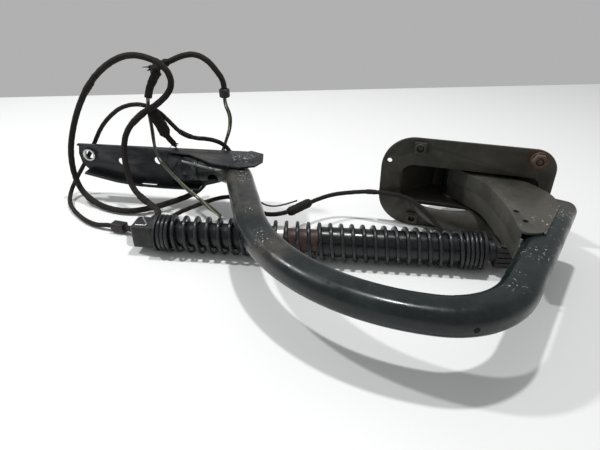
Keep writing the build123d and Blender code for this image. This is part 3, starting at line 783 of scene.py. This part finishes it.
def make_tube_end(materials):
    """The gooseneck's end, pressed flat against the lid bracket's web."""
    along = Vector((-math.cos(LID_TURN), -math.sin(LID_TURN), 0))
    across = Vector((-math.sin(LID_TURN), math.cos(LID_TURN), 0))
    start = at(-316, -78, TUBE_Z)
    stations = [(0, 0, 0, 33, 27, 0.62), (8, 1.5, -0.6, 31, 28, 0.62), (17, 5.5, -3, 24, 32, 0.66),
                (27, 10.5, -6, 15, 37, 0.72), (37, 14.5, -8.5, 8, 40, 0.78), (48, 16.8, -10, 4.2, 41, 0.8),
                (56, 17.4, -10.5, 3.4, 40, 0.82)]
    vertices, faces = [], []
    count = 40
    for reach, side, lift, width, height, corner in stations:
        centre = start + (along * reach + across * side + UP * lift) * MM
        vertices += ring(centre, width, height, corner, across, count)
    for i in range(len(stations) - 1):
        for j in range(count):
            a, b = i * count + j, i * count + (j + 1) % count
            faces.append((a, b, b + count, a + count))
    faces.append(tuple(reversed(range(count))))
    faces.append(tuple((len(stations) - 1) * count + j for j in range(count)))
    piece = new_object("tube_pressed_end", vertices, faces, [materials["arm_coat"]])
    smooth = piece.modifiers.new("smooth", "SUBSURF")
    smooth.levels = smooth.render_levels = 2
    apply_modifiers(piece)
    for polygon in piece.data.polygons:
        polygon.use_smooth = True
    add(piece, "arm")


def make_tube(materials):
    """The gooseneck, with the slot left by its pressed end opened in its wall."""
    node = frame["nodes"]["gooseneck_tube"]
    mesh = node.data.copy()
    mesh.materials.clear()
    mesh.materials.append(materials["arm_coat"])
    piece = bpy.data.objects.new("gooseneck", mesh)
    bpy.context.collection.objects.link(piece)
    work = bmesh.new()
    work.from_mesh(mesh)
    bmesh.ops.remove_doubles(work, verts=work.verts, dist=0.00001)
    work.to_mesh(mesh)
    work.free()
    out = Vector((0.2228, -0.975, 0))
    along = Vector((0.975, 0.2228, 0))
    centre = at(-296.5, -90, 54.2)
    half_wide, half_high, count = 7.2, 6.6, 28
    outline = []
    for j in range(count):
        angle = 2 * math.pi * j / count
        outline.append(along * math.cos(angle) * half_wide + UP * math.sin(angle) * half_high)
    vertices = [centre + (spot + out * reach) * MM for reach in (-7, 6) for spot in outline]
    faces = [(j, (j + 1) % count, (j + 1) % count + count, j + count) for j in range(count)]
    faces += [tuple(reversed(range(count))), tuple(range(count, 2 * count))]
    cutter = new_object("slot_cutter", vertices, faces, [materials["arm_coat"]])
    work = bmesh.new()
    work.from_mesh(cutter.data)
    bmesh.ops.recalc_face_normals(work, faces=work.faces)
    work.to_mesh(cutter.data)
    work.free()
    cut = piece.modifiers.new("slot", "BOOLEAN")
    cut.operation = "DIFFERENCE"
    cut.solver = "EXACT"
    cut.object = cutter
    apply_modifiers(piece)
    bpy.data.objects.remove(cutter)
    for polygon in piece.data.polygons:
        polygon.use_smooth = True
    piece.data.set_sharp_from_angle(angle=math.radians(40))
    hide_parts("gooseneck_tube")
    add(piece, "arm")


def rounded_section(centre, across, half_width, half_height, corner, steps=7):
    """The gooseneck's outline, square to its run, at one place."""
    points = []
    for quarter in range(4):
        for step in range(steps + 1):
            angle = math.pi / 2 * (quarter + step / steps)
            c, s = math.cos(angle), math.sin(angle)
            out = math.copysign(half_width - corner, c if abs(c) > 1e-6 else (1, -1, -1, 1)[quarter])
            high = math.copysign(half_height - corner, s if abs(s) > 1e-6 else (1, 1, -1, -1)[quarter])
            points.append(centre + (across * (out + corner * c) + Vector((0, 0, high + corner * s))) * MM)
    return points


def make_drain_hole(materials):
    """A smooth skin over the gooseneck's front bend, with a near-black disc on it as the round drain hole: painted
    shade stands in for the hole's inside.
    """
    centre, bend = Vector((-17.9, -207.0, TUBE_Z)), 78.0
    skin_from, skin_turn, stations = 17, 21, 15
    vertices, faces = [], []
    for i in range(stations):
        turn = math.radians(skin_from + skin_turn * i / (stations - 1))
        out = Vector((math.sin(turn), -math.cos(turn), 0))
        middle = centre + out * bend
        proud = -0.06 if i in (0, stations - 1) else 0.14
        vertices += rounded_section(at(*middle), out, TUBE_HALF_WIDE + proud, TUBE_HALF_HIGH + proud,
                                    TUBE_CORNER + proud)
    count = len(vertices) // stations
    for i in range(stations - 1):
        for j in range(count):
            a, b = i * count + j, i * count + (j + 1) % count
            faces.append((a, b, b + count, a + count))
    skin = new_object("gooseneck_bend_skin", vertices, faces, [materials["arm_coat"]])
    add(skin, "arm")
    turn = math.radians(24.2)
    out = Vector((math.sin(turn), -math.cos(turn), 0))
    place = centre + out * (bend + TUBE_HALF_WIDE + 0.1)
    # the drain hole is a shallow near-black dome on the skin, not an opening: painted shade of its inside
    disc("drain_hole_shade", place, out, 2.7, 0.12, "arm", materials["hole_shade"])


def make_welds(materials):
    beads = (
        ("weld_tab", [(-334, -96, 76.4), (-316, -100, 76.2), (-296, -103, 75.2), (-276, -104, 74)], 1.5, 41),
        ("weld_web", [(81, -155, 76.2), (88, -134, 76.4), (96, -110, 76.4), (103, -88, 76.2)], 1.3, 42),
        ("weld_strip", [(61, -163, 72), (61.5, -164, 62), (61.5, -164, 52)], 1.4, 43),
    )
    for name, places, radius, seed in beads:
        weld_bead(name, places, radius, "arm", materials, seed)


def disc(name, centre, normal, radius, dome, body, material):
    """A shallow dome facing the way of its normal."""
    facing = Vector(normal).normalized()
    side = facing.cross(UP).normalized()
    up = side.cross(facing)
    rings, around = 6, 36
    vertices = [at(*centre) + facing * dome * MM]
    for ring_number in range(1, rings + 1):
        share = ring_number / rings
        height = dome * math.sqrt(max(0.0, 1 - share * share))
        for j in range(around):
            angle = 2 * math.pi * j / around
            around_it = side * math.cos(angle) + up * math.sin(angle)
            vertices.append(at(*centre) + around_it * radius * share * MM + facing * height * MM)
    faces = [(0, 1 + j, 1 + (j + 1) % around) for j in range(around)]
    for i in range(rings - 1):
        for j in range(around):
            a, b = 1 + i * around + j, 1 + i * around + (j + 1) % around
            faces.append((a, a + around, b + around, b))
    first = 1 + (rings - 1) * around
    faces.append(tuple(reversed([first + j for j in range(around)])))
    piece = new_object(name, vertices, faces, [material])
    return add(piece, body)


def make_blind_threads(materials):
    """The weld nuts' threads end blind, so no light shows through them."""
    threads = (
        ("thread_upper_left", (-46, -37.2, 104), 0.5, "plate_steel"),
        ("thread_upper_right", (84, -39.0, 104), 3.0, "rusty_steel"),
        ("thread_lower_left", (-46, -34.5, 10), 0.6, "plate_steel"),
        ("thread_lower_right", (84, -34.5, 10), 0.6, "plate_steel"),
    )
    for name, centre, dome, slot in threads:
        disc(name, centre, (0, -1, 0), 4.25, dome, "base", materials[slot])


def dress_frame(materials):
    """Gives every CAD node that stays in view its material."""
    record = frame["record"]
    special = {"lid_bracket": "bracket_coat", "weld_nut_lower_left": "plate_steel",
               "weld_nut_lower_right": "plate_steel"}
    for entry in record["subparts"]:
        node = frame["nodes"][entry["node"]]
        kind = special.get(entry["node"], entry["material_slot"])
        node.data.materials.clear()
        node.data.materials.append(materials[kind])


def soften_plates(materials):
    rounded = (
        ("base_plate", "base", "plate_steel", "plate_steel", 1.0),
        ("hinge_housing", "base", "plate_steel", "plate_steel", 1.4),
        ("lid_bracket", "arm", "arm_coat", "bracket_coat", 0.8),
        ("arm_shell_upper", "arm", "shell_coat", "shell_coat", 1.1),
        ("arm_shell_lower", "arm", "shell_coat", "shell_coat", 1.1),
        ("weld_nut_square", "base", "plate_steel", "plate_steel", 0.8),
        ("weld_nut_flanged", "base", "rusty_steel", "rusty_steel", 0.7),
        ("ball_socket_left", "motor_unit", "black_plastic", "black_plastic", 0.7),
        ("ball_socket_right", "push_unit", "black_plastic", "black_plastic", 0.7),
    )
    for node, body, slot, kind, width in rounded:
        softened(node, body, materials[kind], width)


make_camera()
MATERIALS = make_materials()
make_loom(MATERIALS)
make_stage()
dress_frame(MATERIALS)
soften_plates(MATERIALS)
make_spring(MATERIALS)
make_tube(MATERIALS)
make_tube_end(MATERIALS)
make_drain_hole(MATERIALS)
make_welds(MATERIALS)
make_blind_threads(MATERIALS)
